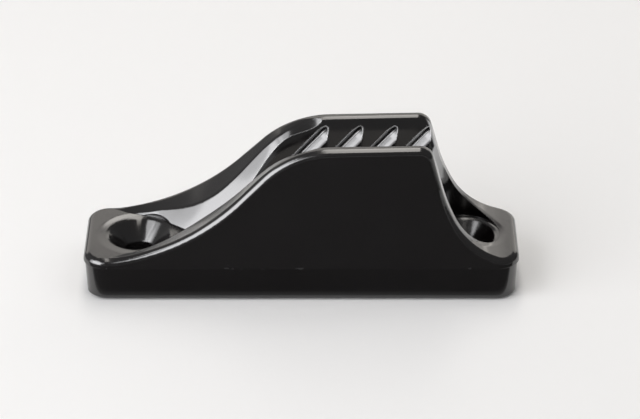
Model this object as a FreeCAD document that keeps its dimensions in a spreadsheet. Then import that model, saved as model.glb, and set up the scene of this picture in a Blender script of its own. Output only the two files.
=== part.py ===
import FreeCAD, Part
import math
import os

import Sketcher

# An open jam cleat for thin rope, moulded in one piece of glossy black nylon.
# X runs along the rope, from the low rope entry (-X) to the steep tail (+X), Y runs across
# the two jaws and Z points up. The origin is the middle of the underside.
# Lengths are in millimetres and angles in degrees.

SIZES = {
    # lower half of the base, under the mould's parting line
    "base_length": 81.75,
    "base_width": 21.1,
    "base_corner_radius": 4.0,
    "parting_height": 7.1,
    "base_draft": 2.6,
    "sole_chamfer": 0.7,
    # upper half, which stands out past the lower half as a fine lip
    "lip_at_ends": 0.3,
    "lip_at_sides": 0.15,
    "wall_lean": 6.6,
    "rim_edge_radius": 1.2,
    # rim seen from the side
    "seat_height": 8.7,
    "crest_height": 30.9,
    "crest_end": 22.0,
    "crest_length": 16.4,
    "crest_slope": 1.2,
    "brow_radius": 19.0,
    "ramp_slope": 45.0,
    "ramp_radius": 42.0,
    "ramp_toe_slope": 9.5,
    "ramp_toe_radius": 10.0,
    "tail_corner_radius": 2.6,
    "tail_slope": 75.0,
    "tail_upper_radius": 36.0,
    "tail_knee_slope": 62.0,
    "tail_lower_radius": 14.0,
    "tail_toe_slope": 18.0,
    "tail_toe_radius": 6.0,
    # rope channel between the jaws, its width taken at the crest
    "channel_width": 11.4,
    "channel_half_angle": 20.0,
    "channel_floor_radius": 1.3,
    "inner_edge_radius": 0.9,
    # rounded trough that leads the rope in from the low end
    "shoulder_start": 1.3,
    "shoulder_slope": 12.5,
    "shoulder_radius": 1.2,
    "trough_side_slope": 48.0,
    "trough_floor_radius": 1.2,
    "trough_end_slope": 25.0,
    # half width of the trough at the inner end of its shoulders, from the foot of the ramp up
    "trough_half_width_1": 8.2,
    "trough_half_width_2": 8.1,
    "trough_half_width_3": 7.2,
    "trough_half_width_4": 3.8,
    "trough_half_width_5": 4.1,
    "trough_half_width_6": 5.0,
    "trough_half_width_7": 5.8,
    "trough_half_width_8": 5.6,
    # screw seats
    "screw_spacing": 61.8,
    "screw_hole_radius": 2.75,
    "countersink_radius": 6.1,
    "countersink_half_angle": 45.0,
    "countersink_easing": 0.3,
    "seat_radius": 6.9,
    # teeth on the jaws
    "tooth_count": 4,
    "tooth_pitch": 6.55,
    "first_tooth": -0.3,
    "tooth_slope": 45.0,
    "tooth_face": 0.6,
    "tooth_face_slope": 65.0,
    "tooth_hollow_radius": 0.5,
    "tooth_back_slope": 32.0,
    "tooth_swell_radius": 2.6,
    "tooth_fade_slope": 8.0,
    "tooth_bottom": 18.4,
    "tooth_bend": 28.0,
    "tooth_runout_radius": 2.5,
}

# How far the cutters run out past the part, and a hair's breadth for comparing places
REACH = 20.0
CLEAR = 1.0
NEAR = 0.01
# Slopes along the ramp where a section of the trough is drawn, and how far its cutter stands up
TROUGH_SLOPES = (9.5, 19.0, 32.0, 45.0)
TROUGH_LID = 5.0
# Height at which a tooth's place along X is given
TOOTH_LINE_HEIGHT = 25.0
# How far the tooth cutter stands out of the jaw wall, and how far its path bends away from it
TOOTH_CLEARANCE = 0.8
TOOTH_RUNOUT_SWEEP = 55.0
# Most of a jaw's thickness at the crest that its outer and its inner rounding may take
RIM_SHARE = 0.55
INNER_SHARE = 0.42

ALONG = FreeCAD.Vector(1, 0, 0)
UP = FreeCAD.Vector(0, 0, 1)

doc = FreeCAD.newDocument("jam_cleat")
sheet = doc.addObject("Spreadsheet::Sheet", "Sizes")
for row, (alias, value) in enumerate(SIZES.items(), start=1):
    sheet.set(f"A{row}", alias)
    sheet.set(f"B{row}", str(value))
    sheet.setAlias(f"B{row}", alias)
doc.recompute()

body = doc.addObject("PartDesign::Body", "cleat_body")
body.Label = "cleat_body"


def size(alias):
    return float(sheet.get(alias))


def sine(angle):
    return math.sin(math.radians(angle))


def cosine(angle):
    return math.cos(math.radians(angle))


def tangent(angle):
    return math.tan(math.radians(angle))


def flat(x, y):
    return FreeCAD.Vector(x, y, 0)


# Sketch helpers. Points of a piece are named as the sketcher numbers them.
FIRST, LAST = 1, 2
ORIGIN = (-1, 1)
CROSS_AXIS, UPRIGHT_AXIS = -1, -2


def origin_feature(role):
    return next(item for item in body.Origin.OriginFeatures if item.Role == role)


def new_sketch(name, plane):
    sketch = body.newObject("Sketcher::SketchObject", name)
    sketch.AttachmentSupport = [(origin_feature(plane), "")]
    sketch.MapMode = "FlatFace"
    return sketch


def constrain(sketch, kind, *where, rule=None):
    """Add a constraint. A dimension ends in its start value, and its rule follows the sheet."""
    index = sketch.addConstraint(Sketcher.Constraint(kind, *where))
    if rule is not None:
        sketch.setExpression(f"Constraints[{index}]", rule)


def draw_line(sketch, start, end):
    return sketch.addGeometry(Part.LineSegment(start, end), False)


class Walk:
    """A chain of lines and arcs in a sketch, each starting where the last one ended."""

    def __init__(self, sketch, x, y, heading):
        self.sketch = sketch
        self.point = flat(x, y)
        self.heading = heading
        self.previous = None
        self.joint = None

    def line(self, length):
        way = flat(cosine(self.heading), sine(self.heading))
        end = self.point + way * length
        index = draw_line(self.sketch, self.point, end)
        return self.join(index, FIRST, LAST, end)

    def arc(self, radius, heading):
        turn = math.copysign(1, heading - self.heading)
        side = flat(-sine(self.heading), cosine(self.heading)) * turn
        centre = self.point + side * radius
        end = centre - flat(-sine(heading), cosine(heading)) * turn * radius
        angles = [math.radians(way - 90 * turn) for way in (self.heading, heading)]
        ends = (FIRST, LAST) if turn > 0 else (LAST, FIRST)
        arc = Part.ArcOfCircle(Part.Circle(centre, UP, radius), min(angles), max(angles))
        index = self.sketch.addGeometry(arc, False)
        self.heading = heading
        return self.join(index, *ends, end)

    def join(self, index, start, end, point):
        if self.previous is not None:
            constrain(self.sketch, self.joint, *self.previous, index, start)
        self.previous = (index, end)
        self.joint = "Tangent"
        self.point = point
        return index

    def turn(self, heading):
        """Change direction at a sharp corner."""
        self.heading = heading
        self.joint = "Coincident"


def straighten(sketch, horizontal=(), vertical=()):
    for piece in horizontal:
        constrain(sketch, "Horizontal", piece)
    for piece in vertical:
        constrain(sketch, "Vertical", piece)


# Base. Both halves are rounded rectangles on the parting plane, drawn in as they leave it.
def base_outline(name, lip_at_ends, lip_at_sides):
    """Outline of one half. The two lips name the sheet's sizes that widen it, or are 0."""
    sketch = new_sketch(name, "XY_Plane")
    sketch.setExpression("AttachmentOffset.Base.z", "Sizes.parting_height")
    end_lip = size(lip_at_ends) if lip_at_ends else 0
    side_lip = size(lip_at_sides) if lip_at_sides else 0
    half_length = size("base_length") / 2 + end_lip
    half_width = size("base_width") / 2 + side_lip
    radius = size("base_corner_radius") + end_lip
    end_rule = f" + Sizes.{lip_at_ends}" if lip_at_ends else ""
    side_rule = f" + Sizes.{lip_at_sides}" if lip_at_sides else ""

    outline = Walk(sketch, radius - half_length, -half_width, 0)
    sides = []
    corners = []
    for heading, half_side in enumerate((half_length, half_width) * 2, start=1):
        sides.append(outline.line(2 * (half_side - radius)))
        corners.append(outline.arc(radius, 90 * heading))
    near, right, far, left = sides
    constrain(sketch, "Tangent", *outline.previous, near, FIRST)
    straighten(sketch, horizontal=(near, far), vertical=(right, left))
    for corner in corners[1:]:
        constrain(sketch, "Equal", corners[0], corner)
    constrain(sketch, "Radius", corners[0], radius, rule=f"Sizes.base_corner_radius{end_rule}")
    across = f"Sizes.base_width / 2{side_rule}"
    along = f"Sizes.base_length / 2{end_rule}"
    constrain(sketch, "DistanceY", *ORIGIN, far, FIRST, half_width, rule=across)
    constrain(sketch, "DistanceY", near, FIRST, *ORIGIN, half_width, rule=across)
    constrain(sketch, "DistanceX", *ORIGIN, right, FIRST, half_length, rule=along)
    constrain(sketch, "DistanceX", left, FIRST, *ORIGIN, half_length, rule=along)
    return sketch


lower_base = body.newObject("PartDesign::Pad", "lower_base")
lower_base.Profile = base_outline("lower_outline", None, None)
lower_base.Reversed = True
lower_base.setExpression("Length", "Sizes.parting_height")
lower_base.setExpression("TaperAngle", "-Sizes.base_draft")

# The upper half starts as a tall block with leaning walls
upper_block = body.newObject("PartDesign::Pad", "upper_block")
upper_block.Profile = base_outline("upper_outline", "lip_at_ends", "lip_at_sides")
upper_block.setExpression("Length", f"Sizes.crest_height + {CLEAR} - Sizes.parting_height")
upper_block.setExpression("TaperAngle", "-Sizes.wall_lean")
upper_length = size("base_length") + 2 * size("lip_at_ends")


def wall_half_width(z):
    """Half the width of the upper half at a height, out to its leaning walls."""
    lean_in = (z - size("parting_height")) * tangent(size("wall_lean"))
    return size("base_width") / 2 + size("lip_at_sides") - lean_in


def wall_half_width_rule(z):
    lean_in = f"({z} - Sizes.parting_height) * tan(Sizes.wall_lean)"
    return f"Sizes.base_width / 2 + Sizes.lip_at_sides - {lean_in}"


# Rim seen from the side. The two straight slopes have whatever length the heights leave them.
def arc_rise(radius, steep, flatter):
    return size(radius) * (cosine(size(flatter)) - cosine(size(steep)))


crest_start_x = size("crest_end") - size("crest_length") * cosine(size("crest_slope"))
crest_start_z = size("crest_height") - size("crest_length") * sine(size("crest_slope"))
brow_run = size("brow_radius") * (sine(size("ramp_slope")) - sine(size("crest_slope")))
brow_rise = arc_rise("brow_radius", "ramp_slope", "crest_slope")
ramp_rise = arc_rise("ramp_radius", "ramp_slope", "ramp_toe_slope")
ramp_run = size("ramp_radius") * (sine(size("ramp_slope")) - sine(size("ramp_toe_slope")))
toe_rise = size("ramp_toe_radius") * (1 - cosine(size("ramp_toe_slope")))
toe_run = size("ramp_toe_radius") * sine(size("ramp_toe_slope"))
ramp_line_rise = crest_start_z - brow_rise - ramp_rise - toe_rise - size("seat_height")
ramp_line = ramp_line_rise / sine(size("ramp_slope"))
ramp_end_x = crest_start_x - brow_run - ramp_line * cosine(size("ramp_slope"))
ramp_end_z = size("seat_height") + toe_rise + ramp_rise
ramp_foot_x = ramp_end_x - ramp_run - toe_run
tail_drop = (
    arc_rise("tail_corner_radius", "tail_slope", "crest_slope")
    + arc_rise("tail_upper_radius", "tail_slope", "tail_knee_slope")
    + arc_rise("tail_lower_radius", "tail_knee_slope", "tail_toe_slope")
    + size("tail_toe_radius") * (1 - cosine(size("tail_toe_slope")))
)
tail_line = (size("crest_height") - size("seat_height") - tail_drop) / sine(size("tail_slope"))


def rim_profile():
    """All that lies above the rim, from the seats up, to be cut away across the whole width."""
    sketch = new_sketch("rim_profile", "XZ_Plane")
    low = size("seat_height")
    top = size("crest_height") + REACH
    ends = size("base_length") / 2 + REACH
    rim = Walk(sketch, -ends, low, 0)
    seat_in = rim.line(ends + ramp_foot_x)
    ramp_toe = rim.arc(size("ramp_toe_radius"), size("ramp_toe_slope"))
    ramp = rim.arc(size("ramp_radius"), size("ramp_slope"))
    slope = rim.line(ramp_line)
    brow = rim.arc(size("brow_radius"), size("crest_slope"))
    crest = rim.line(size("crest_length"))
    corner = rim.arc(size("tail_corner_radius"), -size("tail_slope"))
    tail = rim.line(tail_line)
    knee = rim.arc(size("tail_upper_radius"), -size("tail_knee_slope"))
    foot = rim.arc(size("tail_lower_radius"), -size("tail_toe_slope"))
    tail_toe = rim.arc(size("tail_toe_radius"), 0)
    seat_out = rim.line(ends - rim.point.x)
    rim.turn(90)
    rise = rim.line(top - low)
    rim.turn(180)
    lid = rim.line(2 * ends)
    rim.turn(270)
    fall = rim.line(top - low)
    constrain(sketch, "Coincident", fall, LAST, seat_in, FIRST)
    straighten(sketch, horizontal=(seat_in, seat_out, lid), vertical=(rise, fall))

    end_rule = f"Sizes.base_length / 2 + {REACH}"
    constrain(sketch, "DistanceX", seat_in, FIRST, *ORIGIN, ends, rule=end_rule)
    constrain(sketch, "DistanceX", *ORIGIN, seat_out, LAST, ends, rule=end_rule)
    constrain(sketch, "DistanceY", *ORIGIN, seat_in, FIRST, low, rule="Sizes.seat_height")
    constrain(sketch, "DistanceY", *ORIGIN, seat_out, LAST, low, rule="Sizes.seat_height")
    constrain(sketch, "DistanceY", *ORIGIN, lid, FIRST, top, rule=f"Sizes.crest_height + {REACH}")
    crest_end = (*ORIGIN, crest, LAST)
    constrain(sketch, "DistanceX", *crest_end, size("crest_end"), rule="Sizes.crest_end")
    constrain(sketch, "DistanceY", *crest_end, size("crest_height"), rule="Sizes.crest_height")
    constrain(sketch, "Distance", crest, size("crest_length"), rule="Sizes.crest_length")
    for line, name, sign in (
        (slope, "ramp_slope", 1),
        (crest, "crest_slope", 1),
        (tail, "tail_slope", -1),
    ):
        angle = math.radians(sign * size(name))
        constrain(sketch, "Angle", line, angle, rule=f"{sign} * Sizes.{name} * 1 deg")
    for arc, name in (
        (ramp_toe, "ramp_toe_radius"),
        (ramp, "ramp_radius"),
        (brow, "brow_radius"),
        (corner, "tail_corner_radius"),
        (knee, "tail_upper_radius"),
        (foot, "tail_lower_radius"),
        (tail_toe, "tail_toe_radius"),
    ):
        constrain(sketch, "Radius", arc, size(name), rule=f"Sizes.{name}")
    for arc, bottom, top, radius, steep, flatter in (
        (ramp, FIRST, LAST, "ramp_radius", "ramp_slope", "ramp_toe_slope"),
        (knee, LAST, FIRST, "tail_upper_radius", "tail_slope", "tail_knee_slope"),
        (foot, LAST, FIRST, "tail_lower_radius", "tail_knee_slope", "tail_toe_slope"),
    ):
        height = arc_rise(radius, steep, flatter)
        rule = f"Sizes.{radius} * (cos(Sizes.{flatter}) - cos(Sizes.{steep}))"
        constrain(sketch, "DistanceY", arc, bottom, arc, top, height, rule=rule)
    return sketch


rim_cut = body.newObject("PartDesign::Pocket", "rim_cut")
rim_cut.Profile = rim_profile()
rim_cut.Type = "ThroughAll"
rim_cut.Midplane = True
doc.recompute()


# The outer edges are rounded before the channel is cut, while the walls are still solid
def edges_where(shape, wanted):
    """Names of the edges of a shape that pass a test."""
    return [f"Edge{number}" for number, edge in enumerate(shape.Edges, start=1) if wanted(edge)]


def rounding_rule(name, share):
    """Radius of a rounding on top of a jaw, which a thin jaw limits to a share of its thickness."""
    thickness = f"{wall_half_width_rule('Sizes.crest_height')} - Sizes.channel_width / 2"
    return f"min(Sizes.{name}; {share} * ({thickness}))"


def on_outer_rim(edge):
    """An edge along the top of the rim or round the outside of a seat."""
    if edge.BoundBox.ZMin < size("seat_height") - NEAR:
        return False
    middle = edge.valueAt((edge.FirstParameter + edge.LastParameter) / 2)
    is_along_wall = abs(middle.y) > NEAR
    is_at_end = abs(middle.x) > upper_length / 2 - size("rim_edge_radius")
    return is_along_wall or is_at_end


rim_round = body.newObject("PartDesign::Fillet", "rim_round")
rim_round.Base = (rim_cut, edges_where(rim_cut.Shape, on_outer_rim))
rim_round.setExpression("Radius", rounding_rule("rim_edge_radius", RIM_SHARE))
doc.recompute()

sole_chamfer = body.newObject("PartDesign::Chamfer", "sole_chamfer")
sole_chamfer.Base = (rim_round, edges_where(rim_round.Shape, lambda edge: edge.BoundBox.ZMax < NEAR))
sole_chamfer.setExpression("Size", "Sizes.sole_chamfer")


# Rounded trough that leads the rope up between the jaws. From the rim each section across the
# cleat slopes gently inward as a shoulder, rolls over into a steep side and ends in a round floor.
def trough_section(number, x, rim_z):
    sketch = new_sketch(f"trough_section_{number}", "YZ_Plane")
    sketch.AttachmentOffset = FreeCAD.Placement(FreeCAD.Vector(0, 0, x), FreeCAD.Rotation())
    shoulder = size("shoulder_slope")
    side = size("trough_side_slope")
    roll = size("shoulder_radius")
    floor_radius = size("trough_floor_radius")
    inner = size(f"trough_half_width_{number}")
    start = wall_half_width(rim_z) - size("shoulder_start") + CLEAR
    start_z = rim_z + CLEAR * tangent(shoulder)
    lid_z = rim_z + TROUGH_LID
    shoulder_length = (start - inner) / cosine(shoulder)
    side_run = inner - roll * (sine(side) - sine(shoulder)) - floor_radius * sine(side)

    outline = Walk(sketch, -start, lid_z, -90)
    left = outline.line(lid_z - start_z)
    outline.turn(-shoulder)
    left_shoulder = outline.line(shoulder_length)
    left_roll = outline.arc(roll, -side)
    outline.line(side_run / cosine(side))
    floor = outline.arc(floor_radius, side)
    right_side = outline.line(side_run / cosine(side))
    right_roll = outline.arc(roll, shoulder)
    right_shoulder = outline.line(shoulder_length)
    outline.turn(90)
    right = outline.line(lid_z - start_z)
    lid = draw_line(sketch, outline.point, flat(-start, lid_z))
    constrain(sketch, "Coincident", right, LAST, lid, FIRST)
    constrain(sketch, "Coincident", lid, LAST, left, FIRST)
    straighten(sketch, vertical=(right,))
    for left_piece, right_piece in ((lid, lid), (left_shoulder, right_shoulder), (floor, floor)):
        constrain(sketch, "Symmetric", left_piece, FIRST, right_piece, LAST, UPRIGHT_AXIS)
    constrain(sketch, "Symmetric", left_shoulder, LAST, right_shoulder, FIRST, UPRIGHT_AXIS)
    constrain(sketch, "Equal", left_roll, right_roll)
    start_rule = f"{wall_half_width_rule(rim_z)} - Sizes.shoulder_start + {CLEAR}"
    rise_rule = f"{rim_z} + {CLEAR} * tan(Sizes.shoulder_slope)"
    inner_rule = f"Sizes.trough_half_width_{number}"
    constrain(sketch, "DistanceX", *ORIGIN, right, FIRST, start, rule=start_rule)
    constrain(sketch, "DistanceY", *ORIGIN, right, FIRST, start_z, rule=rise_rule)
    constrain(sketch, "DistanceY", *ORIGIN, right, LAST, lid_z)
    constrain(sketch, "DistanceX", *ORIGIN, right_shoulder, FIRST, inner, rule=inner_rule)
    for line, name in ((right_shoulder, "shoulder_slope"), (right_side, "trough_side_slope")):
        constrain(sketch, "Angle", line, math.radians(size(name)), rule=f"Sizes.{name} * 1 deg")
    constrain(sketch, "Radius", right_roll, roll, rule="Sizes.shoulder_radius")
    constrain(sketch, "Radius", floor, floor_radius, rule="Sizes.trough_floor_radius")
    return sketch


# Sections follow the rim from the foot of the ramp to the brow and then run out over the crest
ramp_centre_x = ramp_end_x - size("ramp_radius") * sine(size("ramp_slope"))
ramp_centre_z = ramp_end_z + size("ramp_radius") * cosine(size("ramp_slope"))
brow_centre_x = crest_start_x + size("brow_radius") * sine(size("crest_slope"))
brow_centre_z = crest_start_z - size("brow_radius") * cosine(size("crest_slope"))


def on_arc(centre_x, centre_z, radius, slope):
    """Place on a hollow arc of the rim, or on a bulging one where the radius is negative."""
    return centre_x + radius * sine(slope), centre_z - radius * cosine(slope)


stations = [(ramp_foot_x, size("seat_height"))]
for slope in TROUGH_SLOPES:
    stations.append(on_arc(ramp_centre_x, ramp_centre_z, size("ramp_radius"), slope))
for slope in (size("ramp_slope"), size("trough_end_slope")):
    stations.append(on_arc(brow_centre_x, brow_centre_z, -size("brow_radius"), slope))
brow_station_x, brow_station_z = stations[-1]
run_out_rise = (crest_start_x - brow_station_x) * tangent(size("trough_end_slope"))
stations.append((crest_start_x, brow_station_z + run_out_rise))
sections = [trough_section(number, *station) for number, station in enumerate(stations, start=1)]
trough = body.newObject("PartDesign::SubtractiveLoft", "trough")
trough.Profile = sections[0]
trough.Sections = sections[1:]


# Rope channel: straight leaning walls down to a small round floor
def channel_profile():
    sketch = new_sketch("channel_profile", "YZ_Plane")
    half_angle = size("channel_half_angle")
    radius = size("channel_floor_radius")
    lid_z = size("crest_height") + REACH
    lid_half = size("channel_width") / 2 + REACH * tangent(half_angle)
    wall = lid_half / sine(half_angle) - radius / tangent(half_angle)
    groove = Walk(sketch, -lid_half, lid_z, half_angle - 90)
    left = groove.line(wall)
    floor = groove.arc(radius, 90 - half_angle)
    right = groove.line(wall)
    lid = draw_line(sketch, groove.point, flat(-lid_half, lid_z))
    constrain(sketch, "Coincident", right, LAST, lid, FIRST)
    constrain(sketch, "Coincident", lid, LAST, left, FIRST)
    constrain(sketch, "Symmetric", lid, FIRST, lid, LAST, UPRIGHT_AXIS)
    for wall_line, sign in ((right, 1), (left, -1)):
        angle = math.radians(sign * (90 - half_angle))
        rule = f"{sign} * (90 - Sizes.channel_half_angle) * 1 deg"
        constrain(sketch, "Angle", wall_line, angle, rule=rule)
    width_rule = f"Sizes.channel_width + 2 * {REACH} * tan(Sizes.channel_half_angle)"
    constrain(sketch, "Radius", floor, radius, rule="Sizes.channel_floor_radius")
    constrain(sketch, "DistanceY", *ORIGIN, lid, FIRST, lid_z, rule=f"Sizes.crest_height + {REACH}")
    constrain(sketch, "DistanceX", lid, LAST, lid, FIRST, 2 * lid_half, rule=width_rule)
    return sketch


channel = body.newObject("PartDesign::Pocket", "channel")
channel.Profile = channel_profile()
channel.Type = "ThroughAll"
channel.Midplane = True


doc.recompute()


def on_inner_rim(edge):
    """The upper edge of a channel wall beside the brow, the crest and the tail."""
    if edge.BoundBox.XMin < brow_station_x:
        return False
    middle = edge.valueAt((edge.FirstParameter + edge.LastParameter) / 2)
    half_width = size("channel_width") / 2
    half_width -= (size("crest_height") - middle.z) * tangent(size("channel_half_angle"))
    is_on_wall = abs(abs(middle.y) - half_width) < NEAR
    return is_on_wall and abs(middle.y) > size("channel_floor_radius")


inner_round = body.newObject("PartDesign::Fillet", "inner_round")
inner_round.Base = (channel, edges_where(channel.Shape, on_inner_rim))
inner_round.setExpression("Radius", rounding_rule("inner_edge_radius", INNER_SHARE))
doc.recompute()


# The trough runs on down into the base; this slab fills it up again to the flat low seat
def seat_floor_outline():
    sketch = new_sketch("seat_floor_outline", "XY_Plane")
    sketch.AttachmentOffset = FreeCAD.Placement(UP * CLEAR, FreeCAD.Rotation())
    reach = size("base_length") / 2 - 2 * size("rim_edge_radius")
    half_width = wall_half_width(size("seat_height")) - size("rim_edge_radius")
    slab = Walk(sketch, -reach, -half_width, 0)
    near = slab.line(reach)
    slab.turn(90)
    inner = slab.line(2 * half_width)
    slab.turn(180)
    far = slab.line(reach)
    slab.turn(270)
    outer = slab.line(2 * half_width)
    constrain(sketch, "Coincident", outer, LAST, near, FIRST)
    straighten(sketch, horizontal=(near, far), vertical=(outer,))
    constrain(sketch, "Symmetric", inner, FIRST, inner, LAST, CROSS_AXIS)
    constrain(sketch, "PointOnObject", inner, FIRST, UPRIGHT_AXIS)
    reach_rule = "Sizes.base_length / 2 - 2 * Sizes.rim_edge_radius"
    width_rule = f"2 * ({wall_half_width_rule('Sizes.seat_height')} - Sizes.rim_edge_radius)"
    constrain(sketch, "DistanceX", near, FIRST, near, LAST, reach, rule=reach_rule)
    constrain(sketch, "DistanceY", inner, FIRST, inner, LAST, 2 * half_width, rule=width_rule)
    return sketch


seat_floor = body.newObject("PartDesign::Pad", "seat_floor")
seat_floor.Profile = seat_floor_outline()
seat_floor.setExpression("Length", f"Sizes.seat_height - {CLEAR}")


# Each screw seat is turned about its screw. From the top it is room for the driver and the
# screw's head, the flat seat, the countersink and the screw hole.
def seat_profile():
    sketch = new_sketch("seat_profile", "XZ_Plane")
    sketch.setExpression("AttachmentOffset.Base.x", "Sizes.screw_spacing / 2")
    seat = size("seat_height")
    room = size("seat_radius")
    mouth = size("countersink_radius")
    easing = size("countersink_easing")
    hole = size("screw_hole_radius")
    half_angle = size("countersink_half_angle")
    top = size("crest_height") + CLEAR
    ledge_width = room - mouth - easing
    cone_length = (mouth - hole) / sine(half_angle) - easing
    easing_slope = (90 - half_angle) / 2
    easing_length = 2 * easing * cosine(easing_slope)

    turned = Walk(sketch, room, top, -90)
    wall = turned.line(top - seat)
    turned.turn(-180)
    ledge = turned.line(ledge_width)
    turned.turn(easing_slope - 180)
    ease = turned.line(easing_length)
    turned.turn(-90 - half_angle)
    cone = turned.line(cone_length)
    turned.turn(-90)
    shank = turned.line(turned.point.y + CLEAR)
    turned.turn(-180)
    foot = turned.line(hole)
    turned.turn(-270)
    turned.line(top + CLEAR)
    turned.turn(-360)
    lid = turned.line(room)
    constrain(sketch, "Coincident", lid, LAST, wall, FIRST)
    straighten(sketch, horizontal=(ledge, foot, lid), vertical=(wall, shank))
    constrain(sketch, "PointOnObject", foot, LAST, UPRIGHT_AXIS)
    constrain(sketch, "PointOnObject", lid, FIRST, UPRIGHT_AXIS)
    easing_rule = "2 * Sizes.countersink_easing * cos((90 - Sizes.countersink_half_angle) / 2)"
    cone_angle = math.radians(-90 - half_angle)
    constrain(sketch, "Distance", ease, easing_length, rule=easing_rule)
    constrain(sketch, "Angle", cone, cone_angle, rule="(-90 - Sizes.countersink_half_angle) * 1 deg")
    constrain(sketch, "DistanceX", *ORIGIN, wall, FIRST, room, rule="Sizes.seat_radius")
    constrain(sketch, "DistanceX", *ORIGIN, shank, LAST, hole, rule="Sizes.screw_hole_radius")
    constrain(sketch, "DistanceY", *ORIGIN, ledge, FIRST, seat, rule="Sizes.seat_height")
    constrain(sketch, "DistanceY", *ORIGIN, wall, FIRST, top, rule=f"Sizes.crest_height + {CLEAR}")
    constrain(sketch, "DistanceY", foot, LAST, *ORIGIN, CLEAR)
    easing_part = "- Sizes.countersink_easing"
    ledge_rule = f"Sizes.seat_radius - Sizes.countersink_radius {easing_part}"
    cone_run_rule = "(Sizes.countersink_radius - Sizes.screw_hole_radius)"
    cone_rule = f"{cone_run_rule} / sin(Sizes.countersink_half_angle) {easing_part}"
    constrain(sketch, "Distance", ledge, ledge_width, rule=ledge_rule)
    constrain(sketch, "Distance", cone, cone_length, rule=cone_rule)
    return sketch


tail_seat = body.newObject("PartDesign::Groove", "tail_seat")
tail_seat.Profile = seat_profile()
tail_seat.ReferenceAxis = (tail_seat.Profile[0], ["V_Axis"])
tail_seat.Angle = 360
doc.recompute()
low_seat = body.newObject("PartDesign::Mirrored", "low_seat")
low_seat.Originals = [tail_seat]
low_seat.MirrorPlane = (origin_feature("YZ_Plane"), [""])
body.Tip = low_seat
doc.recompute()

# Teeth. Each is a notch with a steep face and a broad back, cut along a line that climbs the
# leaning jaw wall and then bends out of it, so that the notch fades away under the rim.
half_angle = size("channel_half_angle")
up_wall = FreeCAD.Vector(0, sine(half_angle), cosine(half_angle))
out_of_wall = FreeCAD.Vector(0, -cosine(half_angle), sine(half_angle))
climb = ALONG * cosine(size("tooth_slope")) + up_wall * sine(size("tooth_slope"))
across_tooth = climb.cross(out_of_wall)
tooth_drop = TOOTH_LINE_HEIGHT - size("tooth_bottom")
tooth_start = FreeCAD.Vector(
    size("first_tooth") - tooth_drop * climb.x / climb.z,
    size("channel_width") / 2 - (size("crest_height") - size("tooth_bottom")) * tangent(half_angle),
    size("tooth_bottom"),
)
tooth_line_length = (size("tooth_bend") - size("tooth_bottom")) / climb.z


def sketch_on_wall(name, x_axis, y_axis):
    """A sketch with its origin at the foot of the first tooth line."""
    sketch = new_sketch(name, "XY_Plane")
    turn = FreeCAD.Rotation(x_axis, y_axis, x_axis.cross(y_axis), "XYZ")
    sketch.AttachmentOffset = FreeCAD.Placement(tooth_start, turn)
    return sketch


def tooth_path():
    sketch = sketch_on_wall("tooth_path", climb, out_of_wall)
    radius = size("tooth_runout_radius")
    path = Walk(sketch, 0, 0, 0)
    line = path.line(tooth_line_length)
    bend = path.arc(radius, TOOTH_RUNOUT_SWEEP)
    away = radius * (1 - cosine(TOOTH_RUNOUT_SWEEP))
    away_rule = f"Sizes.tooth_runout_radius * (1 - cos({TOOTH_RUNOUT_SWEEP}))"
    length_rule = f"(Sizes.tooth_bend - Sizes.tooth_bottom) / {climb.z}"
    constrain(sketch, "Coincident", line, FIRST, *ORIGIN)
    straighten(sketch, horizontal=(line,))
    constrain(sketch, "Distance", line, tooth_line_length, rule=length_rule)
    constrain(sketch, "Radius", bend, radius, rule="Sizes.tooth_runout_radius")
    constrain(sketch, "DistanceY", bend, FIRST, bend, LAST, away, rule=away_rule)
    return sketch


def tooth_section():
    """The notch seen along its length: a steep face, a hollow and a back that swells to the wall."""
    sketch = sketch_on_wall("tooth_section", across_tooth, out_of_wall)
    face_slope = size("tooth_face_slope")
    back_slope = size("tooth_back_slope")
    fade_slope = size("tooth_fade_slope")
    hollow_radius = size("tooth_hollow_radius")
    swell_radius = size("tooth_swell_radius")
    swell_rise = swell_radius * (cosine(fade_slope) - cosine(back_slope))
    back_rise = size("tooth_face") * sine(face_slope) - swell_rise
    back_rise += hollow_radius * (cosine(back_slope) - cosine(face_slope))

    notch = Walk(sketch, 0, TOOTH_CLEARANCE, -90)
    near_cheek = notch.line(TOOTH_CLEARANCE)
    notch.turn(-face_slope)
    face = notch.line(size("tooth_face"))
    hollow = notch.arc(hollow_radius, back_slope)
    back = notch.line(back_rise / sine(back_slope))
    swell = notch.arc(swell_radius, fade_slope)
    notch.turn(90)
    far_cheek = notch.line(TOOTH_CLEARANCE)
    lid = draw_line(sketch, notch.point, flat(0, TOOTH_CLEARANCE))
    constrain(sketch, "Coincident", far_cheek, LAST, lid, FIRST)
    constrain(sketch, "Coincident", lid, LAST, near_cheek, FIRST)
    straighten(sketch, horizontal=(lid,), vertical=(near_cheek, far_cheek))
    constrain(sketch, "Coincident", face, FIRST, *ORIGIN)
    constrain(sketch, "PointOnObject", far_cheek, FIRST, CROSS_AXIS)
    constrain(sketch, "DistanceY", *ORIGIN, near_cheek, FIRST, TOOTH_CLEARANCE)
    constrain(sketch, "Distance", face, size("tooth_face"), rule="Sizes.tooth_face")
    for line, name, sign in ((face, "tooth_face_slope", -1), (back, "tooth_back_slope", 1)):
        angle = math.radians(sign * size(name))
        constrain(sketch, "Angle", line, angle, rule=f"{sign} * Sizes.{name} * 1 deg")
    constrain(sketch, "Radius", hollow, hollow_radius, rule="Sizes.tooth_hollow_radius")
    constrain(sketch, "Radius", swell, swell_radius, rule="Sizes.tooth_swell_radius")
    swell_rule = "Sizes.tooth_swell_radius * (cos(Sizes.tooth_fade_slope) - cos(Sizes.tooth_back_slope))"
    constrain(sketch, "DistanceY", swell, LAST, swell, FIRST, swell_rise, rule=swell_rule)
    return sketch


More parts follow.
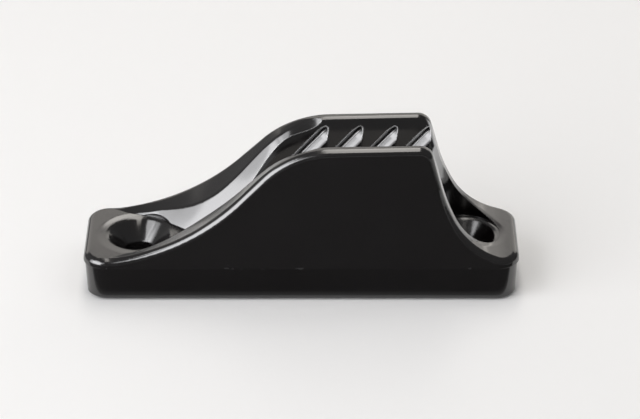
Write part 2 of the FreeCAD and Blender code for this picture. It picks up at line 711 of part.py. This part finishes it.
tooth = body.newObject("PartDesign::SubtractivePipe", "tooth")
tooth.Profile = tooth_section()
tooth.Spine = (tooth_path(), [])
doc.recompute()
teeth = body.newObject("PartDesign::MultiTransform", "teeth")
row_of_teeth = body.newObject("PartDesign::LinearPattern", "row_of_teeth")
row_of_teeth.Direction = (origin_feature("X_Axis"), [""])
row_of_teeth.setExpression("Length", "(Sizes.tooth_count - 1) * Sizes.tooth_pitch")
row_of_teeth.setExpression("Occurrences", "Sizes.tooth_count")
both_jaws = body.newObject("PartDesign::Mirrored", "both_jaws")
both_jaws.MirrorPlane = (origin_feature("XZ_Plane"), [""])
teeth.Originals = [tooth]
teeth.Transformations = [row_of_teeth, both_jaws]
body.Tip = teeth
doc.recompute()

# Check and save
for item in doc.Objects:
    if "Invalid" in item.State or "Error" in item.State:
        raise RuntimeError(f"{item.Name} did not build: {item.getStatusString()}")
shape = body.Shape
if shape.isNull() or not shape.isValid() or len(shape.Solids) != 1:
    raise RuntimeError(f"{body.Label} is not one sound solid")
os.makedirs("parts", exist_ok=True)
shape.exportStep(f"parts/{body.Label}.step")
box = shape.BoundBox
print(f"{body.Label}: {box.XLength:.2f} x {box.YLength:.2f} x {box.ZLength:.2f}, {shape.Volume:.0f}")
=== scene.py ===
# %% [markdown]
# # An open jam cleat in glossy black nylon
# A jam cleat holds a thin rope on a boat: the rope is led up a rounded trough and wedges between
# two leaning, toothed jaws. The real one is moulded in a single piece, so there is only one thing
# to dress here. What makes it look real is its gloss: deep black flats, thin bright lines along
# every rounded edge, and a big window mirrored in the trough and on the backs of the teeth.
# All lengths are in metres, and MM turns millimetres into them.

# %% Load the frame
import math

import bpy
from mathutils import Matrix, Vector


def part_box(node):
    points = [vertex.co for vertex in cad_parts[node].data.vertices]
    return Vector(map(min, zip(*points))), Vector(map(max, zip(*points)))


MM = 0.001
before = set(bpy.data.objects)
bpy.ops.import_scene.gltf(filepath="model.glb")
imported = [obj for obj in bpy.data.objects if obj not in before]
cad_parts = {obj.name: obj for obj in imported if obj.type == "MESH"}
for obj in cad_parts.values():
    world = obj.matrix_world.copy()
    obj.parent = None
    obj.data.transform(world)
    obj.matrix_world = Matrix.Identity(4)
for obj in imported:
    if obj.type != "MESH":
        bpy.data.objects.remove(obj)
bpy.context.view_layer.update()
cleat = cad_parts["cleat_body"]
low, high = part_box("cleat_body")
print("cleat size in mm:", [round(side / MM, 1) for side in high - low])

# %% [markdown]
# ## Camera
# The camera stands straight in front of the long side and looks down at it from about 30 degrees.
# It uses a very long lens from half a metre away, so the two ends look nearly the same size and
# the upright edges stay parallel, as in a catalogue picture. A camera fit gives the lens's length
# in pixels of the picture. Times the sensor's width and divided by the picture's, it is in
# millimetres.

# %% Camera
PICTURE_WIDTH = 640
SENSOR_WIDTH = 36.0
FOCAL_PIXELS = 2987.9
VIEW_ELEVATION = math.radians(29.57)
VIEW_DISTANCE = 0.567
LOOK_AT = Vector((0.00354, 0.0, 0.01389))

camera_data = bpy.data.cameras.new("camera")
camera_data.sensor_width = SENSOR_WIDTH
camera_data.lens = FOCAL_PIXELS * SENSOR_WIDTH / PICTURE_WIDTH
camera = bpy.data.objects.new("camera", camera_data)
bpy.context.scene.collection.objects.link(camera)
toward_camera = Vector((0.0, -math.cos(VIEW_ELEVATION), math.sin(VIEW_ELEVATION)))
camera.location = LOOK_AT + VIEW_DISTANCE * toward_camera
camera.rotation_euler = (math.pi / 2 - VIEW_ELEVATION, 0.0, 0.0)
bpy.context.scene.camera = camera
bpy.context.scene.view_settings.view_transform = "Standard"
print("camera at", [round(value, 4) for value in camera.location], "lens", round(camera_data.lens, 1))

# %% [markdown]
# ## Helpers for nodes
# A finish is a small chain of nodes. The first helper makes a node with its settings and fills or
# links its inputs. The next two do sums: plain arithmetic, and a smooth passage from one value to
# another. With them each finish below reads as a short list.

# %% Helpers for nodes
def node(tree, kind, inputs=None, **settings):
    """Make a node. An input's value is a number, a colour, a vector or another node's output."""
    made = tree.nodes.new(kind)
    for name, value in settings.items():
        setattr(made, name, value)
    for name, value in (inputs or {}).items():
        if isinstance(value, bpy.types.NodeSocket):
            tree.links.new(value, made.inputs[name])
        else:
            made.inputs[name].default_value = value
    return made


def maths(tree, operation, first, second=0.0):
    """One sum on two numbers or outputs."""
    return node(tree, "ShaderNodeMath", {0: first, 1: second}, operation=operation).outputs[0]


def blend(tree, value, start, end, low_result=0.0, high_result=1.0):
    """Carry a value smoothly from one range to another."""
    ranges = {"Value": value, "From Min": start, "From Max": end,
              "To Min": low_result, "To Max": high_result}
    made = node(tree, "ShaderNodeMapRange", ranges, interpolation_type="SMOOTHSTEP")
    return made.outputs["Result"]


print("helpers for nodes, sums and smooth passages")

# %% [markdown]
# The other helpers are steps that most finishes share: a soft random pattern, a mix of two
# colours or two directions, a normal tilted as if the surface rose, an empty material, and the
# last step, which feeds the finished maps into the material's shader.

# %% Helpers for finishes
def noise(tree, place, scale, detail):
    """A soft random pattern round one half."""
    values = {"Vector": place, "Scale": scale, "Detail": detail}
    return node(tree, "ShaderNodeTexNoise", values).outputs["Fac"]


def mix(tree, data_type, factor, first, second):
    """Pass from the first colour or vector to the second as the factor goes from 0 to 1."""
    values = {"Factor": factor, "A": first, "B": second}
    return node(tree, "ShaderNodeMix", values, data_type=data_type).outputs["Result"]


def mix_normals(tree, factor, first, second):
    """Pass from one direction to another and keep its length at 1."""
    mixed = mix(tree, "VECTOR", factor, first, second)
    return node(tree, "ShaderNodeVectorMath", {0: mixed}, operation="NORMALIZE").outputs[0]


def bump(tree, height, distance, normal, **settings):
    """Tilt a normal as if the surface rose by the height times the distance."""
    values = {"Height": height, "Strength": 1.0, "Distance": distance, "Normal": normal}
    return node(tree, "ShaderNodeBump", values, **settings).outputs["Normal"]


def new_material(name):
    material = bpy.data.materials.new(name)
    material.use_nodes = True
    return material, material.node_tree


def feed_shader(tree, colour, roughness, normal):
    """Link the three maps of a finish to the material's shader."""
    shader = tree.nodes["Principled BSDF"]
    tree.links.new(colour, shader.inputs["Base Color"])
    tree.links.new(roughness, shader.inputs["Roughness"])
    tree.links.new(normal, shader.inputs["Normal"])
    return shader


print("helpers for noise, mixes, bumps and shaders")

# %% [markdown]
# ## Fine grain
# No real surface is perfectly even. Seen close up, moulded nylon has a faint grain from the
# mould's steel, and studio paper has a coarser one. Both are the same effect at another scale, so
# it is made once as a node group: a noise that lifts the surface by thousandths or hundredths of a
# millimetre, and a slower one that makes the gloss vary from place to place. Such a noise mostly
# stays between 0.3 and 0.7, so that range is spread over the whole change in gloss.

# %% Fine grain group
NOISE_LOW = 0.3
NOISE_HIGH = 0.7


def make_grain_group():
    group = bpy.data.node_groups.new("fine_grain", "ShaderNodeTree")
    for name, start in (("Grain size", 0.3 * MM), ("Grain height", 0.0005 * MM),
                        ("Patch size", 9.0 * MM), ("Smoothest", 0.1), ("Roughest", 0.2)):
        socket = group.interface.new_socket(name, in_out="INPUT", socket_type="NodeSocketFloat")
        socket.default_value = start
    group.interface.new_socket("Normal", in_out="INPUT", socket_type="NodeSocketVector")
    for name, kind in (("Normal", "NodeSocketVector"), ("Roughness", "NodeSocketFloat"),
                       ("Patches", "NodeSocketFloat")):
        group.interface.new_socket(name, in_out="OUTPUT", socket_type=kind)
    given = group.nodes.new("NodeGroupInput").outputs
    place = node(group, "ShaderNodeTexCoord").outputs["Object"]
    grain = noise(group, place, maths(group, "DIVIDE", 1.0, given["Grain size"]), detail=2.0)
    relief = bump(group, grain, given["Grain height"], given["Normal"])
    patches = noise(group, place, maths(group, "DIVIDE", 1.0, given["Patch size"]), detail=3.0)
    dullness = blend(group, patches, NOISE_LOW, NOISE_HIGH, given["Smoothest"], given["Roughest"])
    results = group.nodes.new("NodeGroupOutput").inputs
    group.links.new(relief, results["Normal"])
    group.links.new(dullness, results["Roughness"])
    group.links.new(patches, results["Patches"])
    return group


fine_grain = make_grain_group()
print("fine grain group with", len(fine_grain.nodes), "nodes")

# %% [markdown]
# Each material places the group with its own values. Without a normal of its own, a material
# takes the surface's.

# %% Place the grain
def add_grain(tree, grain_size, grain_height, patch_size, smoothest, roughest, normal=None):
    """Put the grain group into a material. Lengths are in millimetres."""
    values = {"Grain size": grain_size * MM, "Grain height": grain_height * MM,
              "Patch size": patch_size * MM, "Smoothest": smoothest, "Roughest": roughest}
    if normal is not None:
        values["Normal"] = normal
    return node(tree, "ShaderNodeGroup", values, node_tree=fine_grain).outputs


print("the grain gives", [socket.name for socket in fine_grain.nodes["Group Output"].inputs if socket.name])

# %% [markdown]
# ## Black nylon
# The whole cleat is one shot of black nylon from a polished mould. Its body colour is close to
# black with a breath of brown, so nearly everything one sees is mirrored light. What keeps it
# from looking like glass is built up below in small steps: eased edges, dished screw seats,
# slightly swollen sides of the trough, slow waves and fine grain, then two painted marks. Each
# step needs to know where it is on the cleat, so the places are measured first: how far from the
# middle line, how far from the nearer screw, and which way the surface looks.

# %% Places on the cleat
SCREW_OFFSET = 30.9 * MM

nylon, tree = new_material("black_nylon")
place = node(tree, "ShaderNodeTexCoord").outputs["Object"]
parts = node(tree, "ShaderNodeSeparateXYZ", {"Vector": place}).outputs
off_centre = maths(tree, "ABSOLUTE", parts["Y"])
past_screw = maths(tree, "SUBTRACT", maths(tree, "ABSOLUTE", parts["X"]), SCREW_OFFSET)
reach = maths(tree, "SQRT", maths(tree, "ADD", maths(tree, "POWER", past_screw, 2.0),
                                  maths(tree, "POWER", off_centre, 2.0)))
own_normal = node(tree, "ShaderNodeNewGeometry").outputs["Normal"]
facing = node(tree, "ShaderNodeSeparateXYZ", {"Vector": own_normal}).outputs
print("screws", round(SCREW_OFFSET / MM, 1), "mm from the middle")

# %% [markdown]
# No moulded edge is truly sharp. Rounding each one in the mesh would cost thousands of triangles,
# so a bevel in the shader rounds only the light. It is wider at the mouths of the screw holes,
# whose rims are softer than the other edges.

# %% Eased edges
BEVEL_SAMPLES = 6
EDGE_EASING = 0.2 * MM
MOUTH_EASING = 0.5 * MM
MOUTH_RADIUS = 6.4 * MM
MOUTH_FADE = 0.4 * MM

easing = blend(tree, reach, MOUTH_RADIUS, MOUTH_RADIUS + MOUTH_FADE, MOUTH_EASING, EDGE_EASING)
eased = node(tree, "ShaderNodeBevel", {"Radius": easing}, samples=BEVEL_SAMPLES).outputs["Normal"]
print("edges eased by", EDGE_EASING / MM, "mm and mouths by", MOUTH_EASING / MM, "mm")

# %% [markdown]
# The flat round each screw hole is dished by a seventh of a millimetre, which draws a pale
# crescent beside the hole. A bump from a smooth ring does it. The dish is kept to the flat end and
# fades out where the ramp begins.

# %% Dished screw seats
DISH_START = MOUTH_RADIUS - 0.2 * MM
DISH_RADIUS = 8.2 * MM
DISH_DEPTH = 0.14 * MM
DISH_GONE = -2.0 * MM
DISH_FULL = 1.0 * MM

dish = blend(tree, reach, DISH_START, DISH_RADIUS)
dished = bump(tree, dish, DISH_DEPTH, eased)
on_flat = blend(tree, past_screw, DISH_GONE, DISH_FULL)
seat_normal = mix_normals(tree, on_flat, eased, dished)
print("seats dished by", round(DISH_DEPTH / MM, 2), "mm")

# %% [markdown]
# The steep sides of the trough aren't quite flat: they swell by about a tenth of a millimetre.
# That small curve makes the mirrored window pass from dimmer at the shoulder to brightest near
# the floor. It is too small to be worth mesh faces, so a bump does it: a parabola across the side,
# whose middle moves inwards as the trough climbs and narrows. Only surfaces that look towards the
# middle line get it.

# %% Swollen trough sides
TROUGH_LOW = -22.0 * MM
TROUGH_HIGH = -10.0 * MM
LOW_SIDE_MIDDLE = 4.3 * MM
HIGH_SIDE_MIDDLE = 2.9 * MM
SIDE_SWELL = 0.02 * MM
INWARD_START = -0.25
INWARD_FULL = -0.45
TROUGH_GONE = 1.0 * MM
TROUGH_FULL = -1.0 * MM

side_middle = blend(tree, parts["X"], TROUGH_LOW, TROUGH_HIGH, LOW_SIDE_MIDDLE, HIGH_SIDE_MIDDLE)
off_middle = maths(tree, "DIVIDE", maths(tree, "SUBTRACT", off_centre, side_middle), MM)
bulge = maths(tree, "POWER", maths(tree, "ABSOLUTE", off_middle), 2.0)
swollen = bump(tree, bulge, SIDE_SWELL, seat_normal, invert=True)
outward = maths(tree, "MULTIPLY", maths(tree, "SIGN", parts["Y"]), facing["Y"])
on_trough = maths(tree, "MULTIPLY", blend(tree, outward, INWARD_START, INWARD_FULL),
                  blend(tree, parts["X"], TROUGH_GONE, TROUGH_FULL))
side_normal = mix_normals(tree, on_trough, seat_normal, swollen)
print("trough sides fall away by", SIDE_SWELL / MM, "mm at 1 mm from their middle")

# %% [markdown]
# Thick plastic shrinks a little unevenly as it cools, which leaves waves a few millimetres long
# and some thousandths deep: they make a mirrored edge wander. Over them lies the fine grain of
# the mould.

# %% Waves and grain
WAVE_SIZE = 7.0 * MM
WAVE_HEIGHT = 0.008 * MM

waves = noise(tree, place, 1.0 / WAVE_SIZE, detail=0.0)
wavy = bump(tree, waves, WAVE_HEIGHT, side_normal)
skin = add_grain(tree, grain_size=0.25, grain_height=0.0012, patch_size=9.0,
                 smoothest=0.09, roughest=0.17, normal=wavy)
print("waves", WAVE_SIZE / MM, "mm long and", WAVE_HEIGHT / MM, "mm high")

# %% [markdown]
# The lips of the teeth are painted light grey and dull: a painted highlight along each sharp edge.
# A lip is found where the direction of a bevel differs from the surface's own, which happens only
# at a sharp edge. The mask is kept to the inside of the jaws, and the steep faces, which look
# towards the tail, get a little less of the same painted light.

# %% Painted highlights on the teeth
LIP_WIDTH = 0.45 * MM
LIP_START = 0.985
LIP_FULL = 0.93
STEEP_START = 0.35
STEEP_FULL = 0.7
FACE_HIGHLIGHT = 0.75
JAW_INSIDE = 6.0 * MM
JAW_INSIDE_FADE = 0.5 * MM
JAW_FOOT = 17.0 * MM
JAW_FOOT_FADE = 1.0 * MM

# This mask paints highlight: light grey on the sharp lips and, a little less, on the steep faces.
round_lip = node(tree, "ShaderNodeBevel", {"Radius": LIP_WIDTH}, samples=BEVEL_SAMPLES)
both = {0: round_lip.outputs["Normal"], 1: own_normal}
alike = node(tree, "ShaderNodeVectorMath", both, operation="DOT_PRODUCT")
sharp = blend(tree, alike.outputs["Value"], LIP_START, LIP_FULL)
steep = blend(tree, facing["X"], STEEP_START, STEEP_FULL, 0.0, FACE_HIGHLIGHT)
between_jaws = blend(tree, off_centre, JAW_INSIDE, JAW_INSIDE - JAW_INSIDE_FADE)
above_foot = blend(tree, parts["Z"], JAW_FOOT, JAW_FOOT + JAW_FOOT_FADE)
on_jaw = maths(tree, "MULTIPLY", between_jaws, above_foot)
lip_highlight = maths(tree, "MULTIPLY", maths(tree, "MAXIMUM", sharp, steep), on_jaw)
print("teeth rubbed above", round(JAW_FOOT / MM), "mm")

# %% [markdown]
# The two halves of the mould leave a few faint specks of flash on the parting line: sparse
# islands of a noise, kept to a narrow band along both long sides.

# %% Flash specks
PARTING_HEIGHT = 7.1 * MM
SPECK_BAND = 0.35 * MM
SPECK_CORE = 0.4 * SPECK_BAND
SPECK_SIZE = 1.6 * MM
SPECK_START = 0.62
SPECK_FULL = 0.68
LONG_SIDE_START = 8.5 * MM
LONG_SIDE_FULL = 9.5 * MM

off_line = maths(tree, "ABSOLUTE", maths(tree, "SUBTRACT", parts["Z"], PARTING_HEIGHT))
on_line = blend(tree, off_line, SPECK_CORE, SPECK_BAND, 1.0, 0.0)
islands = blend(tree, noise(tree, place, 1.0 / SPECK_SIZE, detail=4.0), SPECK_START, SPECK_FULL)
on_side = blend(tree, off_centre, LONG_SIDE_START, LONG_SIDE_FULL)
speck = maths(tree, "MULTIPLY", on_side, maths(tree, "MULTIPLY", on_line, islands))
print("specks on the parting line at", round(PARTING_HEIGHT / MM, 1), "mm")

# %% [markdown]
# Now colour and gloss come together. The body passes between two near blacks in the patches of
# the grain, the specks are a little lighter and the lips of the teeth light grey, a painted
# highlight. Both marks are duller than the skin. The refractive index is nylon's, and the polished
# skin's gloss is set stronger than that alone would give, so that the lamps can be weaker.

# %% Nylon colour and shader
NYLON_BLACK = (0.0026, 0.0018, 0.002, 1.0)
NYLON_WORN_BLACK = (0.0034, 0.0026, 0.0028, 1.0)
SPECK_GREY = (0.014, 0.013, 0.014, 1.0)
# The light grey below is a painted highlight on the lips and steep faces of the teeth.
LIP_HIGHLIGHT_GREY = (0.8, 0.8, 0.81, 1.0)
MARK_ROUGHNESS = 0.45
NYLON_IOR = 1.53
SKIN_GLOSS = 1.0

body_colour = mix(tree, "RGBA", skin["Patches"], NYLON_BLACK, NYLON_WORN_BLACK)
specked = mix(tree, "RGBA", speck, body_colour, SPECK_GREY)
# Painted highlight: light grey mixed in on the teeth's lips and steep faces.
highlit = mix(tree, "RGBA", lip_highlight, specked, LIP_HIGHLIGHT_GREY)
marked = maths(tree, "MAXIMUM", speck, lip_highlight)
dullness = blend(tree, marked, 0.0, 1.0, skin["Roughness"], MARK_ROUGHNESS)
shader = feed_shader(tree, highlit, dullness, skin["Normal"])
shader.inputs["IOR"].default_value = NYLON_IOR
shader.inputs["Specular IOR Level"].default_value = SKIN_GLOSS
for slot in cleat.material_slots:
    slot.material = nylon
print("black nylon on", cleat.name, "with", len(tree.nodes), "nodes")

# %% [markdown]
# ## Floor
# The cleat lies on a wide sheet of pale studio paper. Its white comes from the paper's own colour
# and not from extra light on the cleat. The sheet has a fine tooth and hardly any gloss.

# %% Floor
FLOOR_SIDE = 4.0
PAPER = (0.9, 0.9, 0.9, 1.0)
PAPER_SHADE = (0.885, 0.885, 0.885, 1.0)

bpy.ops.mesh.primitive_plane_add(size=FLOOR_SIDE)
floor = bpy.context.object
floor.name = "floor"
floor_paint, tree = new_material("pale_paper")
tooth = add_grain(tree, grain_size=0.8, grain_height=0.02, patch_size=60.0,
                  smoothest=0.85, roughest=0.95)
paper = mix(tree, "RGBA", tooth["Patches"], PAPER, PAPER_SHADE)
feed_shader(tree, paper, tooth["Roughness"], tooth["Normal"])
floor.data.materials.append(floor_paint)
print("floor of", FLOOR_SIDE, "m with", len(tree.nodes), "nodes")

# %% [markdown]
# ## Dark card in front, a painted reflection
# A glossy black side would mirror the white floor in front of it and look grey. A photographer
# lays a dark card there, just outside the picture. Here the card is hidden from the camera, from
# soft light and from shadow rays, so only mirrored rays find it: it is a painted reflection, a dark
# sheet that mirrored rays see in place of shade in front of the cleat. Close to the cleat it fades
# to a lighter grey, a painted reflection of the pale paper there, which draws the pale line along
# the foot of the long side.

# %% Dark card
CARD_NEAR = -11.2 * MM
CARD_FADE = -13.0 * MM
CARD_SIDE = 0.5
CARD_LIFT = 0.4 * MM
# The card's greys are a painted reflection: dark for the shaded front, lighter near the foot for the pale
# paper.
CARD_DARK = 0.06
CARD_FOOT_REFLECTION = 0.3
CARD_MOTTLE = 0.03

bpy.ops.mesh.primitive_plane_add(size=1.0)
card = bpy.context.object
card.name = "front_reflection_card"
card.scale = (CARD_SIDE, CARD_SIDE, 1.0)
card.location = (0.0, CARD_NEAR - CARD_SIDE / 2, CARD_LIFT)
card_paint, tree = new_material("reflection_card")
felt = add_grain(tree, grain_size=0.5, grain_height=0.01, patch_size=40.0,
                 smoothest=0.85, roughest=0.95)
spot = node(tree, "ShaderNodeNewGeometry").outputs["Position"]
depth = node(tree, "ShaderNodeSeparateXYZ", {"Vector": spot}).outputs["Y"]
grey = blend(tree, depth, CARD_FADE, CARD_NEAR, CARD_DARK, CARD_FOOT_REFLECTION)
mottle = blend(tree, felt["Patches"], NOISE_LOW, NOISE_HIGH, 1 - CARD_MOTTLE, 1 + CARD_MOTTLE)
mottled = maths(tree, "MULTIPLY", grey, mottle)
feed_shader(tree, mottled, felt["Roughness"], felt["Normal"])
card.data.materials.append(card_paint)
card.visible_camera = False
card.visible_diffuse = False
card.visible_shadow = False
print("dark card begins", abs(CARD_NEAR) / MM, "mm in front of the middle")

# %% [markdown]
# ## Light
# On a glossy part a lamp is drawn as its own mirror image, so each lamp is placed by where its
# image falls. Its azimuth and elevation say in which direction it stands, seen from the cleat, and
# its radiance how bright its image is before the nylon dims it to about a tenth.

# %% A softbox
HEART = Vector((0.0, 0.0, 0.012))


def softbox(name, azimuth, elevation, distance, width, height, radiance, colour):
    """An area lamp that faces the cleat. Azimuth 0 is behind it, 90 is at its right."""
    lamp_data = bpy.data.lights.new(name, "AREA")
    lamp_data.shape = "RECTANGLE"
    lamp_data.size = width
    lamp_data.size_y = height
    lamp_data.energy = radiance * math.pi * width * height
    lamp_data.color = colour
    lamp = bpy.data.objects.new(name, lamp_data)
    bpy.context.scene.collection.objects.link(lamp)
    turn = math.radians(azimuth)
    rise = math.radians(elevation)
    way = Vector((math.sin(turn) * math.cos(rise), math.cos(turn) * math.cos(rise), math.sin(rise)))
    lamp.location = HEART + distance * way
    lamp.rotation_euler = (-way).to_track_quat("-Z", "Y").to_euler()
    lamp.visible_camera = False
    print(name, "at azimuth", azimuth, "and elevation", elevation)
    return lamp


print("softboxes face", [round(value / MM) for value in HEART], "mm")

# %% [markdown]
# A window to the front left fills the trough and the backs of the teeth. Its upper pane lights
# the rounded brow. A long strip overhead, running from back to front, draws the thin lines on the
# rims. Two dim panels behind give the seats their warm grey.

# %% Lamps
COOL_LIGHT = (0.98, 0.98, 1.0)
STRIP_LIGHT = (1.0, 0.96, 0.91)
WARM_LIGHT = (1.0, 0.95, 0.89)

# The numbers are azimuth, elevation, distance, width, height and radiance.
softbox("window", -125.5, 25, 0.7, 0.86, 0.62, 2.2, COOL_LIGHT)
softbox("window_top", -117, 52, 0.7, 0.26, 0.16, 3.7, COOL_LIGHT)
softbox("top_strip", 0, 75, 0.8, 0.2, 1.38, 3.7, STRIP_LIGHT)
softbox("back_panel", -2, 22, 0.9, 1.3, 0.3, 0.94, WARM_LIGHT)
softbox("back_right_panel", 24, 7, 0.9, 0.4, 0.22, 0.87, WARM_LIGHT)

# %% [markdown]
# A window is brighter in its middle than at its frame. Two smaller panes in front of it draw that
# in the nylon. They are hidden from soft light, so the pale paper stays below white. The window
# alone would also leave the paper grey at the right. A broad, weak lamp evens it out. That one is
# hidden from mirrored rays, so the nylon doesn't show it.

# %% Panes and fill
PLAIN_LIGHT = (1.0, 1.0, 1.0)

panes = [softbox("window_middle", -127, 25, 0.69, 0.67, 0.5, 2.3, COOL_LIGHT),
         softbox("window_heart", -129, 26, 0.68, 0.5, 0.42, 2.9, COOL_LIGHT)]
for pane in panes:
    pane.visible_diffuse = False
fill = softbox("right_fill", 95, 45, 1.2, 1.2, 1.2, 0.7, PLAIN_LIGHT)
fill.visible_glossy = False

# %% [markdown]
# The rest of the room is dim. It is a little lighter to the left, where the window is, than in
# front and to the right, so the world passes between two greys along X.

# %% Room
ROOM_LEFT = 0.3
ROOM_RIGHT = 0.17
PASSAGE_START = -0.7
PASSAGE_END = 0.0

world = bpy.data.worlds.new("studio")
bpy.context.scene.world = world
world.use_nodes = True
tree = world.node_tree
direction = node(tree, "ShaderNodeTexCoord").outputs["Generated"]
sideways = node(tree, "ShaderNodeSeparateXYZ", {"Vector": direction}).outputs["X"]
room = blend(tree, sideways, PASSAGE_START, PASSAGE_END, ROOM_LEFT, ROOM_RIGHT)
tree.links.new(room, tree.nodes["Background"].inputs["Color"])
print("room from", ROOM_LEFT, "at the left to", ROOM_RIGHT, "at the right")
